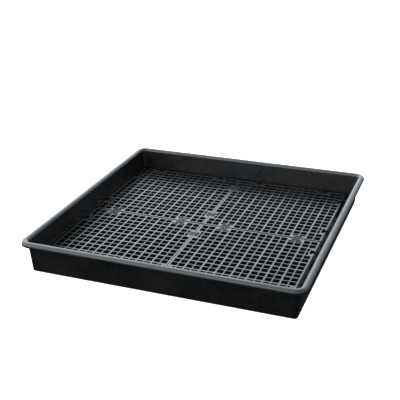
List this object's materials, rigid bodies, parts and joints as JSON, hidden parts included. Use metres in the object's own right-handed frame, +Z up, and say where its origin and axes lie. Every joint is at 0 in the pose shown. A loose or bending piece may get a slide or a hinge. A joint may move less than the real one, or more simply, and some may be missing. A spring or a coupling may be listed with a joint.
{
  "type": "spill tray with load grid",
  "caption": "Low square spill containment tray with sloped walls and a rolled rim, holding a lift-out load grid in clipped panels.",
  "frame": {"origin": "centre of the tray's underside, on the ground", "axes": "+Z up, +X to the right along the front edge, +Y to the back"},
  "size_m": [1, 1, 0.12],
  "materials": {
    "tray_plastic": "black polyethylene, satin with a soft sheen",
    "grid_plastic": "black moulded plastic, semi-gloss",
    "clip_plastic": "black moulded plastic, semi-gloss"
  },
  "bodies": {
    "tray": {"sump_tray": "tray_plastic"},
    "front_left_panel": {"grid_panel_front_left": "grid_plastic", "clip_front_inner": "clip_plastic", "clip_left_outer": "clip_plastic"},
    "front_right_panel": {"grid_panel_front_right": "grid_plastic", "clip_front_outer": "clip_plastic", "clip_right_inner": "clip_plastic"},
    "back_left_panel": {"grid_panel_back_left": "grid_plastic", "clip_back_outer": "clip_plastic", "clip_left_inner": "clip_plastic"},
    "back_right_panel": {"grid_panel_back_right": "grid_plastic", "clip_back_inner": "clip_plastic", "clip_right_outer": "clip_plastic"}
  },
  "joints": [
    {"name": "front_left_lift", "type": "slide", "parent": "tray", "child": "front_left_panel", "axis": [0, 0, 1], "range_m": [0, 0.15]},
    {"name": "front_right_lift", "type": "slide", "parent": "tray", "child": "front_right_panel", "axis": [0, 0, 1], "range_m": [0, 0.15]},
    {"name": "back_left_lift", "type": "slide", "parent": "tray", "child": "back_left_panel", "axis": [0, 0, 1], "range_m": [0, 0.15]},
    {"name": "back_right_lift", "type": "slide", "parent": "tray", "child": "back_right_panel", "axis": [0, 0, 1], "range_m": [0, 0.15]}
  ]
}
